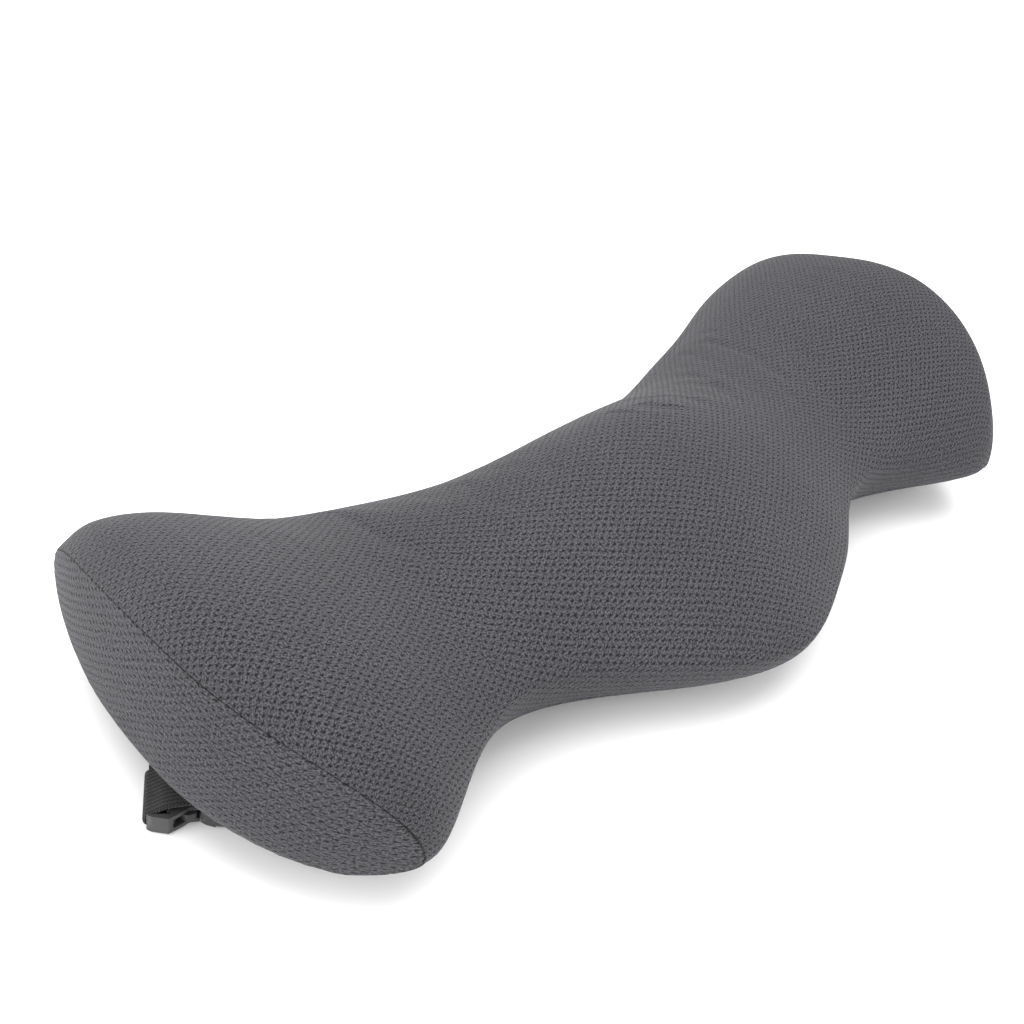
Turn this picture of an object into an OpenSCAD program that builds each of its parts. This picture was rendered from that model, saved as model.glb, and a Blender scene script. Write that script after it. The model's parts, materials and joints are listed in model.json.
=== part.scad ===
// Lumbar support cushion: a moulded foam core in a knitted liner and a zipped air-mesh cover,
// with an elastic strap, a slide adjuster and a side-release buckle across its back.
// It lies on its back. +X runs along the cushion, -Y is its lower edge, +Z points out of the front.
// The origin is on the flat of the back, between the strap and the zip.

/* [Cushion] */
// Length between the middles of the two end seams
cushion_length = 444; // [430:2:460]
// Half-width towards the lower edge, at the middle
lower_middle = 100; // [92:1:106]
// Half-width towards the lower edge, at the dips
lower_dip = 55; // [54:1:62]
// Half-width towards the lower edge, at the wings
lower_wing = 82; // [76:1:88]
// Half-width towards the upper edge, at the middle
upper_middle = 50; // [48:1:56]
// Half-width towards the upper edge, at the wings
upper_wing = 97; // [90:1:102]
// Height of the front at the middle
front_middle = 76; // [70:1:80]
// Height of the front at the dips
front_dip = 59; // [56:1:64]
// Height of the front at the wings
front_wing = 89; // [82:1:94]
// Height of the front at the end seams
front_rim = 75; // [70:1:80]
// How far the back rises to the end seams
end_rise = 18; // [17:1:20]

/* [Cover] */
// Thickness of the air mesh
mesh_t = 3; // [2:0.5:3]
// Thickness of the knitted liner
liner_t = 1; // [0.6:0.2:1]
// Half-length of the zip
zip_half = 148; // [140:1:148]

/* [Strap] */
// Width of the webbing
strap_w = 20; // [18:1:20]
// Thickness of the webbing
strap_t = 1.2; // [1:0.1:1.2]
// Angle of the buckle to the cushion's length
buckle_turn = 36; // [34:1:38]

/* [Hidden] */

mesh_colour = [0.36, 0.36, 0.38];
web_colour = [0.17, 0.17, 0.18];
plastic_colour = [0.22, 0.22, 0.23];
zip_colour = [0.13, 0.13, 0.14];

half_l = cushion_length / 2;
// Where along the half-length each width and height is reached
lower_at = [0.525, 0.947];
upper_at = [0.208, 1.03];
front_at = [0.513, 0.931];
belt_low = 32;
belt_dip = 38;
rise_from = 0.6;
bow_lower = 36;
bow_upper = 18;
end_crown = 5;
side_exp = 1.1;
under_exp = 0.95;
crown_middle = 1.67;
crown_end = 1.06;
// How far the underside's curve would pass the flat back
flat_depth = 8;
// Angle of the long seams below the widest line
seam_angle = 24;
long_steps = 30;
over_steps = 16;
cap_rings = [0.75, 0.45, 0.2];
seam_r = 0.55;
// How far each seam cord lies out of the seam, and how much of the length the long ones run
end_seam_out = 0.45;
long_seam_out = 0.85;
long_seam_share = 0.985;

// The strap and the zip each lie in a shallow valley of the back
strap_y = -25;
strap_valley = 5.8;
strap_flat = 16.5;
strap_fade = 6;
zip_y = 17;
zip_valley = 5.2;
zip_flat = 6.5;
zip_fade = 5;
zip_gap = 4.5;
zip_gap_end = 20 / 30;

function ease(t) = let(c = min(1, max(0, t))) c * c * (3 - 2 * c);
function lower_w(u) = lower_middle + (lower_dip - lower_middle) * ease(u / lower_at[0])
    + (lower_wing - lower_dip) * ease((u - lower_at[0]) / (lower_at[1] - lower_at[0]));
function upper_w(u) = upper_middle
    + (upper_wing - upper_middle) * ease((u - upper_at[0]) / (upper_at[1] - upper_at[0]));
function side_w(u, y, off) = (y < 0 ? lower_w(u) : upper_w(u)) - off;
function front_h(u) = front_middle + (front_dip - front_middle) * ease(u / front_at[0])
    + (front_wing - front_dip) * ease((u - front_at[0]) / (front_at[1] - front_at[0]))
    - (front_wing - front_rim) * pow(max(0, (u - front_at[1]) / (1 - front_at[1])), 2);
function belt_h(u) = belt_low + (belt_dip - belt_low) * (ease(2 * u) - ease(2 * u - 1));
function rise(u) = end_rise * pow(max(0, (u - rise_from) / (1 - rise_from)), 1.5);
function valley(y, at, depth, flat, fade) = depth * (1 - ease((abs(y - at) - flat) / fade));
function press(y) = max(valley(y, strap_y, strap_valley, strap_flat, strap_fade),
    valley(y, zip_y, zip_valley, zip_flat, zip_fade));
function crown_exp(u) = crown_middle + (crown_end - crown_middle) * ease(u);

// Height of the underside at y, off millimetres inside the outer surface
function under_h(u, y, off) = let(
    c = pow(min(1, abs(y) / side_w(u, y, off)), 1 / side_exp),
    s = sqrt(1 - c * c),
    low = rise(u) + off)
    max(belt_h(u) - (belt_h(u) - low + flat_depth) * pow(s, under_exp), max(low, press(y) + off));

// x at station su from -1 to 1, where c is the share of the half-width; the ends are bowed
function long_x(su, c, off) = su * (half_l - off)
    - (c < 0 ? bow_lower : bow_upper) * c * c * su * pow(abs(su), 3);

// Point on the front and sides: angle 0 is the lower edge, 90 the crest, 180 the upper edge
function over_point(su, angle, off) = let(
    u = abs(su),
    c = -sign(cos(angle)) * pow(abs(cos(angle)), side_exp),
    y = c * side_w(u, c, off),
    crest = front_h(u) - off - belt_h(u))
    [long_x(su, c, off), y,
        sin(angle) < 0 ? under_h(u, y, off) : belt_h(u) + crest * pow(sin(angle), crown_exp(u))];
function under_point(su, y, off) =
    [long_x(su, y / side_w(abs(su), y, off), off), y, under_h(abs(su), y, off)];

function over_angles() = [for (i = [0 : over_steps]) -seam_angle + i * (180 + 2 * seam_angle) / over_steps];
function over_row(su, off) = [for (a = over_angles()) over_point(su, a, off)];
function seam_y(u, side, off) = side * side_w(u, side, off) * pow(cos(seam_angle), side_exp);
function gap_half(u) = zip_gap * (1 - ease((u - zip_gap_end) * long_steps / 2));

// Where the underside's columns lie, from the upper seam to the zip and on to the lower seam
function upper_cols(u, off) = let(seam = seam_y(u, 1, off), edge = zip_y + zip_flat + zip_fade)
    [seam, (seam + edge) / 2, edge, zip_y + zip_flat];
function lower_cols(u, off) = let(
    seam = seam_y(u, -1, off),
    edge = max(seam + 2.5, strap_y - strap_flat - strap_fade))
    [zip_y - zip_flat, zip_y - zip_flat - zip_fade, 1.5, strap_y + strap_flat + strap_fade,
        strap_y + strap_flat, strap_y, strap_y - strap_flat, edge, (edge + seam) / 2, seam];
function loop(su, off) = let(u = abs(su), up = upper_cols(u, off), low = lower_cols(u, off))
    concat(over_row(su, off),
        [for (i = [1 : len(up) - 1]) under_point(su, up[i], off)],
        [under_point(su, zip_y, off)],
        [for (i = [0 : len(low) - 2]) under_point(su, low[i], off)]);

// A ring of the end panel, share 1 at the rim and 0 at its middle
function cap_ring(side, share, off) = let(rim = loop(side, off), mid = belt_h(1))
    [for (p = rim) let(y = share * p[1], c = y / side_w(1, p[1], off))
        [side * (long_x(1, c, off) + end_crown * (1 - share * share)), y, mid + share * (p[2] - mid)]];
function cap_middle(side, off) = [side * (half_l - off + end_crown), 0, belt_h(1)];
function stations() = [for (i = [0 : long_steps]) 2 * i / long_steps - 1];
function reversed(list) = [for (i = [len(list) - 1 : -1 : 0]) list[i]];

// Two triangles of a quad, split one way or the other
function quad(a, b, c, d, crossed) = crossed ? [[a, b, d], [b, c, d]] : [[a, b, c], [a, c, d]];

// A closed solid through a stack of loops, closed by a fan at each end.
// Crossed strips are split the other way, to lie flush on what is under them.
module stack_solid(loops, first, last, crossed = []) {
    m = len(loops[0]);
    n = len(loops);
    points = concat([for (l = loops) each l], [first, last]);
    side = [for (i = [0 : n - 2], j = [0 : m - 1]) let(k = (j + 1) % m)
        each quad(i * m + j, i * m + k, (i + 1) * m + k, (i + 1) * m + j, len(search(i, crossed)) > 0)];
    fans = [for (j = [0 : m - 1]) let(k = (j + 1) % m)
        each [[n * m, k, j], [n * m + 1, (n - 1) * m + j, (n - 1) * m + k]]];
    polyhedron(points, concat(side, fans), convexity = 8);
}

// A fabric panel between an outer and an inner grid of points
module panel_solid(outer, inner) {
    n = len(outer);
    loops = [for (i = [0 : n - 1]) concat(outer[i], reversed(inner[i]))];
    m = len(loops[0]);
    half = m / 2;
    side = [for (i = [0 : n - 2], j = [0 : m - 1]) let(k = (j + 1) % m)
        each quad(i * m + j, i * m + k, (i + 1) * m + k, (i + 1) * m + j, j >= half)];
    ends = [for (j = [0 : half - 2]) let(a = m - 1 - j, e = (n - 1) * m)
        each concat(quad(j, a, a - 1, j + 1, false), quad(e + j, e + j + 1, e + a - 1, e + a, true))];
    polyhedron([for (l = loops) each l], concat(side, ends), convexity = 8);
}

// A closed cord through a loop, its rings spanned by X and the way out from the middle
module ring_cord(path, mid, r) {
    sides = 6;
    m = len(path);
    points = [for (p = path) let(d = [0, p[1] - mid[1], p[2] - mid[2]], out = d / norm(d))
        for (k = [0 : sides - 1]) p + r * (cos(60 * k) * [1, 0, 0] + sin(60 * k) * out)];
    faces = [for (i = [0 : m - 1], k = [0 : sides - 1])
        let(a = i * sides, b = ((i + 1) % m) * sides, q = (k + 1) % sides)
        each [[a + k, b + q, a + q], [a + k, b + k, b + q]]];
    polyhedron(points, faces, convexity = 8);
}

module cushion_solid(off) {
    left = [for (s = reversed(cap_rings)) cap_ring(-1, s, off)];
    right = [for (s = cap_rings) cap_ring(1, s, off)];
    body = [for (su = stations()) loop(su, off)];
    stack_solid(concat(left, body, right), cap_middle(-1, off), cap_middle(1, off));
}

module foam_core() {
    color([0.86, 0.84, 0.74]) cushion_solid(mesh_t + liner_t);
}

module inner_liner() {
    color([0.88, 0.88, 0.86]) difference() {
        cushion_solid(mesh_t);
        cushion_solid(mesh_t + liner_t);
    }
}

module front_cover_panel() {
    color(mesh_colour) panel_solid([for (su = stations()) over_row(su, 0)],
        [for (su = stations()) over_row(su, mesh_t)]);
}

module end_panel(side) {
    outer = [for (s = reversed(cap_rings)) cap_ring(side, s, 0)];
    inner = [for (s = cap_rings) cap_ring(side, s, mesh_t)];
    loops = concat(outer, [loop(side, 0)], [loop(side, mesh_t)], inner);
    middles = [cap_middle(side, 0), cap_middle(side, mesh_t)];
    rings = len(cap_rings);
    under = [for (i = [0 : rings - 1]) side < 0 ? rings + 1 + i : i];
    color(mesh_colour) stack_solid(side < 0 ? loops : reversed(loops),
        side < 0 ? middles[0] : middles[1], side < 0 ? middles[1] : middles[0], under);
}

function back_row(su, off, upper) = let(u = abs(su), cols = upper
    ? concat(upper_cols(u, off), [zip_y + gap_half(u)])
    : concat([zip_y - gap_half(u)], lower_cols(u, off)))
    [for (y = cols) under_point(su, y, off)];

module back_panel(upper) {
    color(mesh_colour) panel_solid([for (su = stations()) back_row(su, 0, upper)],
        [for (su = stations()) back_row(su, mesh_t, upper)]);
}

module end_seam(side) {
    color(zip_colour) ring_cord(loop(side, -end_seam_out), cap_middle(side, 0), seam_r);
}

module long_seam(side) {
    angle = side < 0 ? -seam_angle : 180 + seam_angle;
    path = [for (su = stations()) over_point(long_seam_share * su, angle, -long_seam_out)];
    loops = [for (p = path) [for (k = [0 : 5]) p + seam_r * [0, -cos(60 * k), sin(60 * k)]]];
    color(zip_colour) stack_solid(loops, path[0], path[len(path) - 1]);
}

// Zip: tapes between the back panels, teeth under them and a slider round both
tape_z = 5.9;
tape_t = 0.7;
tooth_r = 0.8;
tooth_pitch = 3;
centre_gap = 0.7;
tooth_reach = 1.9;
teeth_half = 142.5;
slider_x = 130;
slider_l = 12;
slider_w = 8;
slider_low = 2.9;
slider_plate = 0.9;
slider_top = 6.95;
stop_x = 146;
tab_z = 1.9;
tab_pin_r = 0.5;
tab_bore_r = 0.58;
tab_l = 22;
tab_w = 6;

module zip_tape(side) {
    low = side < 0 ? zip_y - zip_gap : zip_y + centre_gap;
    color(zip_colour) translate([-zip_half, low, tape_z])
        cube([2 * zip_half, zip_gap - centre_gap, tape_t]);
}

module zip_teeth(side) {
    start = side < 0 ? zip_y - centre_gap : zip_y + centre_gap + tooth_reach;
    color(plastic_colour) for (x = [-teeth_half : tooth_pitch : teeth_half])
        translate([x, start, tape_z - tooth_r]) rotate([90, 0, 0])
            cylinder(r = tooth_r, h = tooth_reach, $fn = 24);
}

module zip_stops() {
    color(plastic_colour) for (x = [-stop_x, stop_x])
        translate([x - 1, zip_y - 3, tape_z - 1.6]) cube([2, 6, 1.6]);
}

module zip_slider() {
    color(plastic_colour) translate([slider_x, zip_y, 0]) {
        translate([0, 0, slider_low]) linear_extrude(slider_plate) plate_outline(slider_l, slider_w);
        translate([0, 0, slider_top]) linear_extrude(slider_plate) plate_outline(slider_l, slider_w - 1);
        for (s = [-1, 1])
            translate([-slider_l / 2 + 2, s * (slider_w / 2 - 0.35) - 0.35, slider_low + slider_plate])
                cube([slider_l - 4, 0.7, 1.6]);
        translate([slider_l / 2 - 3, -0.35, slider_low + slider_plate])
            cube([2, 0.7, slider_top - slider_low - slider_plate]);
        for (s = [-1, 1]) translate([-1, s * 1.8 - 0.4, tab_z - 1]) cube([2, 0.8, slider_low - tab_z + 1]);
        translate([0, 2.2, tab_z]) rotate([90, 0, 0]) cylinder(r = tab_pin_r, h = 4.4, $fn = 32);
    }
}

module plate_outline(l, w) {
    hull() for (x = [-1, 1], y = [-1, 1]) translate([x * (l / 2 - 2), y * (w / 2 - 2)]) circle(2, $fn = 24);
}

module zip_pull_tab() {
    color(plastic_colour) translate([slider_x, zip_y, tab_z]) difference() {
        union() {
            translate([0, 1.3, 0]) rotate([90, 0, 0]) cylinder(r = 1, h = 2.6, $fn = 32);
            translate([-6, -1.3, -0.45]) cube([6, 2.6, 0.9]);
            translate([-tab_l / 2 - 3, 0, -0.45]) linear_extrude(0.9) difference() {
                plate_outline(tab_l - 4, tab_w);
                translate([-5, 0]) circle(1.5, $fn = 32);
            }
        }
        translate([0, 2, 0]) rotate([90, 0, 0]) cylinder(r = tab_bore_r, h = 4, $fn = 32);
    }
}

// Buckle, in its own frame: +X points from the webbing bar to the plug, under the cushion
buckle_at = [-222.5, 8, 0];
bar_r = 1.6;
bar_z = 4.2;
socket_low = 0.4;
plate_t = 1.7;
socket_h = 7.6;
// Plan outline of the socket, half of it: along, across
socket_half = [[-1.6, 10.5], [0, 11.5], [5.5, 12.7], [9, 10.5], [12, 8.2], [15.4, 7.8]];
plug_half = [[15.8, 8.6], [17.5, 9.9], [20.5, 11], [30, 12.5], [32.6, 11.1]];
slot_half = 10.4;
prong_plan = [[15, 2.9], [15, 5.9], [14.4, 8.9], [11.5, 9.9], [9.2, 8.7], [8.6, 6.7], [10, 5.7],
    [13, 5.1], [14, 2.9]];
prong_low = 2.5;
prong_t = 3.4;
plug_bar_x = 31;
plug_bar_z = 3.9;
layer_z = [1.5, 2.75];
merge_x = 44;
bend_start = buckle_at[1] - merge_x * sin(buckle_turn);
bend_r = (bend_start - strap_y) / (1 - cos(buckle_turn));
straight_x = buckle_at[0] + merge_x * cos(buckle_turn) + bend_r * sin(buckle_turn);
// Where the strap lifts off its straight run to follow the rising back
strap_lift_x = 166;
// How far one run reaches into the next, and how much slimmer it is there
lap = 1;
lap_step = 0.06;
skin_gap = 0.4;
// How fast the right end of the strap drops away from the back
strap_droop = 0.02;
adjuster_x = -125;
strap_tail_x = -88;

module in_buckle_frame() {
    translate(buckle_at) rotate([0, 0, -buckle_turn]) children();
}

function mirrored(half) = concat(half, [for (p = reversed(half)) [p[0], -p[1]]]);

module buckle_socket() {
    color(plastic_colour) in_buckle_frame() {
        for (z = [socket_low, socket_low + socket_h - plate_t]) translate([0, 0, z])
            linear_extrude(plate_t) difference() {
                polygon(mirrored(socket_half));
                translate([-3, -slot_half]) square([9, 2 * slot_half]);
            }
        for (s = [-1, 1]) translate([0, 0, socket_low]) linear_extrude(socket_h) intersection() {
            polygon(mirrored(socket_half));
            translate([-1.6, s > 0 ? slot_half : -slot_half - 4]) square([8.6, 4]);
        }
        translate([6, -slot_half, socket_low]) cube([1.6, 2 * slot_half, socket_h]);
        translate([0, slot_half, bar_z]) rotate([90, 0, 0]) cylinder(r = bar_r, h = 2 * slot_half, $fn = 48);
    }
}

module buckle_plug() {
    color(plastic_colour) in_buckle_frame() {
        translate([0, 0, 0.9]) linear_extrude(6.2) intersection() {
            polygon(mirrored(plug_half));
            translate([15, -14]) square([5.6, 28]);
        }
        for (s = [-1, 1]) translate([0, 0, 1.6]) linear_extrude(4.6) intersection() {
            polygon(mirrored(plug_half));
            translate([20, s > 0 ? slot_half : -slot_half - 4]) square([13, 4]);
        }
        translate([plug_bar_x, slot_half, plug_bar_z]) rotate([90, 0, 0])
            cylinder(r = bar_r, h = 2 * slot_half, $fn = 48);
        translate([9.5, -1.6, prong_low]) cube([7, 3.2, prong_t]);
    }
}

// One release prong: an arm from the plug with a finger pad that shows in the socket's side
module buckle_prong(side) {
    color(plastic_colour) in_buckle_frame() scale([1, side, 1]) translate([0, 0, prong_low])
        linear_extrude(prong_t) polygon(prong_plan);
}

// Outline of a strip of thickness t along a line of points
function heading(p, i) = let(d = p[min(i + 1, len(p) - 1)] - p[max(i - 1, 0)]) d / norm(d);
function strip(p, t) = concat(
    [for (i = [0 : len(p) - 1]) let(h = heading(p, i)) p[i] + t / 2 * [-h[1], h[0]]],
    [for (i = [len(p) - 1 : -1 : 0]) let(h = heading(p, i)) p[i] - t / 2 * [-h[1], h[0]]]);
module webbing(points, less = 0) {
    rotate([90, 0, 0]) linear_extrude(strap_w - less, center = true) polygon(strip(points, strap_t - less));
}
function arc_points(mid, r, from, to, n) =
    [for (i = [0 : n]) let(a = from + (to - from) * i / n) mid + r * [cos(a), sin(a)]];

wrap_r = bar_r + 0.2 + strap_t / 2;
// Side view of the anchor webbing, from its sewn end to the bar
anchor_path = [[25, 9.6], [15, 11.3], [9, 10.9], [4, 9.5], [1, 7.5]];
anchor_slope = atan2(anchor_path[1][1] - anchor_path[0][1], anchor_path[0][0] - anchor_path[1][0]);
anchor_mid = (anchor_path[0] + anchor_path[1]) / 2;

module strap_anchor() {
    color(web_colour) in_buckle_frame() webbing(concat(anchor_path,
        arc_points([0, bar_z], wrap_r, 105, 290, 12), [[2.6, 2.7], [4.2, 4.4]]));
}

// Plan of the long strap: round the bend and straight on to end_x
function strap_plan(end_x) = let(mid = [straight_x, strap_y + bend_r])
    concat(arc_points(mid, bend_r + strap_w / 2, -90 - buckle_turn, -90, 12),
        [[end_x, strap_y - strap_w / 2], [end_x, strap_y + strap_w / 2]],
        arc_points(mid, bend_r - strap_w / 2, -90, -90 - buckle_turn, 12));

// Under the right end the strap follows the back, a touch below it
function strap_end_path() = [for (su = [0.82 : 0.034 : 0.991]) let(p = under_point(su, strap_y, 0))
    [p[0], p[2] - strap_t / 2 - skin_gap - strap_droop * (p[0] - strap_lift_x)]];

module long_strap() {
    low = layer_z[0] + strap_t / 2;
    high = layer_z[1] + strap_t / 2;
    bar = [plug_bar_x, plug_bar_z];
    color(web_colour) {
        translate([0, 0, layer_z[0]]) linear_extrude(strap_t) polygon(strap_plan(strap_lift_x + lap));
        translate([0, 0, layer_z[1]]) linear_extrude(strap_t) polygon(strap_plan(strap_tail_x));
        in_buckle_frame() webbing(concat([[merge_x + lap, low], [merge_x - 1, low], [plug_bar_x + 4, low - 0.3]],
            arc_points(bar, wrap_r, 285, 75, 12),
            [[plug_bar_x + 6, 5.2], [plug_bar_x + 10, high], [merge_x + lap, high]]), lap_step);
        translate([0, strap_y, 0]) webbing(concat([[strap_lift_x - lap, low], [strap_lift_x, low]],
            strap_end_path()), lap_step);
    }
}

module strap_adjuster() {
    rail = 2.5;
    w = strap_w + 6;
    l = 19;
    color(plastic_colour) translate([adjuster_x, strap_y, 0]) {
        for (s = [-1, 1]) translate([-l / 2, s > 0 ? w / 2 - rail : -w / 2, 0.3]) cube([l, rail, 4.9]);
        for (s = [-1, 1]) translate([s * (l / 2 - 1.25) - 1.25, -w / 2 + rail, 4.3])
            cube([2.5, w - 2 * rail, 0.9]);
        translate([-2, -w / 2 + rail, 0.3]) cube([4, w - 2 * rail, 0.9]);
    }
}

// Bar tacks: short thread stitches in rows
stitch_pitch = 1.9;
stitch_count = floor((strap_w - 2) / stitch_pitch);
stitch_size = [1.8, 0.6, 0.4];
module stitch_rows(rows) {
    for (x = rows, i = [0 : stitch_count - 1])
        translate([x - stitch_size[0] / 2, (i - (stitch_count - 1) / 2) * stitch_pitch - stitch_size[1] / 2,
            -stitch_size[2]]) cube(stitch_size);
}

module anchor_stitches_left() {
    color(zip_colour) in_buckle_frame() translate([anchor_mid[0], 0, anchor_mid[1] - strap_t / 2 - 0.03])
        rotate([0, anchor_slope, 0]) stitch_rows([-3, 0, 3]);
}

module anchor_stitches_right() {
    path = strap_end_path();
    color(zip_colour) for (i = [1, 2]) let(a = path[i], b = path[i + 1])
        translate([(a[0] + b[0]) / 2, strap_y, (a[1] + b[1]) / 2 - strap_t / 2])
            rotate([0, -atan2(b[1] - a[1], b[0] - a[0]), 0]) stitch_rows([0]);
}

foam_core();
inner_liner();
front_cover_panel();
end_panel(-1);  // end_panel_left
end_panel(1);  // end_panel_right
back_panel(false);  // back_panel_lower
back_panel(true);  // back_panel_upper
end_seam(-1);  // end_seam_left
end_seam(1);  // end_seam_right
long_seam(-1);  // long_seam_lower
long_seam(1);  // long_seam_upper
zip_tape(-1);  // zip_tape_lower
zip_tape(1);  // zip_tape_upper
zip_teeth(-1);  // zip_teeth_lower
zip_teeth(1);  // zip_teeth_upper
zip_stops();
zip_slider();
zip_pull_tab();
strap_anchor();
long_strap();
strap_adjuster();
buckle_socket();
buckle_plug();
buckle_prong(-1);  // buckle_prong_lower
buckle_prong(1);  // buckle_prong_upper
anchor_stitches_left();
anchor_stitches_right();
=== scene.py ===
"""Looks of the lumbar support cushion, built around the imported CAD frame.

Lengths in the shape functions are millimetres.
"""
import json
import math

import bmesh
import bpy
import numpy as np
from mathutils import Matrix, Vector
from mathutils.kdtree import KDTree


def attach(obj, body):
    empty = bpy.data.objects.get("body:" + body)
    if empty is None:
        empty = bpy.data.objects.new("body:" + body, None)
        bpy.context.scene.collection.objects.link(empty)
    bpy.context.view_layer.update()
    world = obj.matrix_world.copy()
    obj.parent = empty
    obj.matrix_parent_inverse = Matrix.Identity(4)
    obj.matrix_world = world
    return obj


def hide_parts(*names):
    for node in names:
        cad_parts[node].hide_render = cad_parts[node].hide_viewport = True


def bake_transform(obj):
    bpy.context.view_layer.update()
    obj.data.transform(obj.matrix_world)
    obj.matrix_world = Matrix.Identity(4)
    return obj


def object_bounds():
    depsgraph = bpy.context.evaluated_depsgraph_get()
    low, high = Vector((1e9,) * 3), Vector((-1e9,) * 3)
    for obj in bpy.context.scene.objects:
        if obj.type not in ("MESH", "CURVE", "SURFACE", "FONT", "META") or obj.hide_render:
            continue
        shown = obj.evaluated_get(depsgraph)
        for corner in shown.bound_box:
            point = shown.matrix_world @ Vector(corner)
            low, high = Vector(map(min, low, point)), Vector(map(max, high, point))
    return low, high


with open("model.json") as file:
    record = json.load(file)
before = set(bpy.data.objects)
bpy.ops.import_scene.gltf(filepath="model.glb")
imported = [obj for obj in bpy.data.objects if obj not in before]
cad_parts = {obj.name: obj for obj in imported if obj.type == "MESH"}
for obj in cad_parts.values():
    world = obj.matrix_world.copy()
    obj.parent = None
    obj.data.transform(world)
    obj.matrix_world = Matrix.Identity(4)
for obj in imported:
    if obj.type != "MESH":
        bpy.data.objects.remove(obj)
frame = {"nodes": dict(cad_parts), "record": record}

CAD_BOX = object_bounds()
MM = 0.001

# ---------------------------------------------------------------- camera, lights and world

camera_data = bpy.data.cameras.new("camera")
camera_data.lens = 47.32
camera_data.sensor_width = 36.0
camera_data.clip_start = 0.01
camera = bpy.data.objects.new("camera", camera_data)
bpy.context.scene.collection.objects.link(camera)
CAMERA_AT = (-0.3913, -0.2449, 0.3678)
CAMERA_RIGHT = (0.6894, -0.7069, 0.1578)
CAMERA_DOWN = (-0.3498, -0.5157, -0.7821)
CAMERA_FORWARD = (0.6343, 0.4840, -0.6029)
camera.matrix_world = Matrix([
    (CAMERA_RIGHT[k], -CAMERA_DOWN[k], -CAMERA_FORWARD[k], CAMERA_AT[k]) for k in range(3)
] + [(0, 0, 0, 1)]).normalized()
bpy.context.scene.camera = camera


def area_light(name, at, aim, size, power):
    """A square soft box at a point, turned towards another."""
    data = bpy.data.lights.new(name, "AREA")
    data.shape = "SQUARE"
    data.size = size
    data.energy = power
    lamp = bpy.data.objects.new(name, data)
    bpy.context.scene.collection.objects.link(lamp)
    back = np.array(at, float) - np.array(aim, float)
    back /= np.linalg.norm(back)
    right = np.cross((0.0, 1.0, 0.0) if abs(back[2]) > 0.9 else (0.0, 0.0, 1.0), back)
    right /= np.linalg.norm(right)
    up = np.cross(back, right)
    lamp.matrix_world = Matrix([(right[k], up[k], back[k], at[k]) for k in range(3)]
            + [(0, 0, 0, 1)])
    return lamp


area_light("top_box", (0.1, 0.3, 1.9), (0, 0, 0), 2.2, 44)
area_light("left_box", (-1.5, 0.2, 0.9), (0, 0, 0.05), 1.2, 16)
area_light("front_box", (0.1, -1.6, 0.8), (0, 0, 0.05), 1.2, 9)

world = bpy.data.worlds.new("studio")
bpy.context.scene.world = world
world.use_nodes = True
world.node_tree.nodes["Background"].inputs[0].default_value = (1.0, 1.0, 1.0, 1)
world.node_tree.nodes["Background"].inputs[1].default_value = 1.0
bpy.context.scene.view_settings.view_transform = "Standard"

# ---------------------------------------------------------------- node helpers


class Nodes:
    """A short way to write a material's nodes."""

    def __init__(self, name):
        self.material = bpy.data.materials.new(name)
        self.material.use_nodes = True
        self.tree = self.material.node_tree
        self.shader = self.tree.nodes["Principled BSDF"]

    def add(self, kind, *inputs, **settings):
        node = self.tree.nodes.new("ShaderNode" + kind)
        for key, value in settings.items():
            setattr(node, key, value)
        for at, value in enumerate(inputs):
            self.put(value, node.inputs[at])
        return node

    def put(self, value, socket):
        if value is None:
            return
        if hasattr(value, "is_output"):
            self.tree.links.new(value, socket)
        else:
            socket.default_value = value

    def math(self, operation, *inputs):
        return self.add("Math", *inputs, operation=operation).outputs[0]

    def vector(self, operation, *inputs):
        node = self.add("VectorMath", *inputs, operation=operation)
        return node.outputs["Value" if operation in ("LENGTH", "DOT_PRODUCT") else "Vector"]

    def smooth(self, value, low, high, to_low=0.0, to_high=1.0):
        node = self.add("MapRange", value, low, high, to_low, to_high,
                interpolation_type="SMOOTHSTEP")
        return node.outputs[0]

    def mix(self, share, a, b):
        node = self.add("Mix", data_type="RGBA")
        self.put(share, node.inputs["Factor"])
        self.put(a, node.inputs[6])
        self.put(b, node.inputs[7])
        return node.outputs[2]

    def noise(self, vector, scale, detail=2.0):
        node = self.add("TexNoise")
        self.put(vector, node.inputs["Vector"])
        node.inputs["Scale"].default_value = scale
        node.inputs["Detail"].default_value = detail
        return node.outputs["Fac"]

    def bump(self, height, distance, strength=1.0, after=None):
        node = self.add("Bump")
        node.inputs["Strength"].default_value = strength
        node.inputs["Distance"].default_value = distance
        self.put(height, node.inputs["Height"])
        if after is not None:
            self.put(after, node.inputs["Normal"])
        return node.outputs["Normal"]

    def finish(self, colour=None, rough=None, normal=None, **uniform):
        for value, name in ((colour, "Base Color"), (rough, "Roughness"), (normal, "Normal")):
            if value is not None:
                self.put(value, self.shader.inputs[name])
        for name, value in uniform.items():
            self.shader.inputs[name.replace("_", " ")].default_value = value
        return self.material


def grey(level, blue=1.0):
    return (level, level * 0.985, level * blue, 1.0)


CELL = (0.00455, 0.0032)


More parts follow.
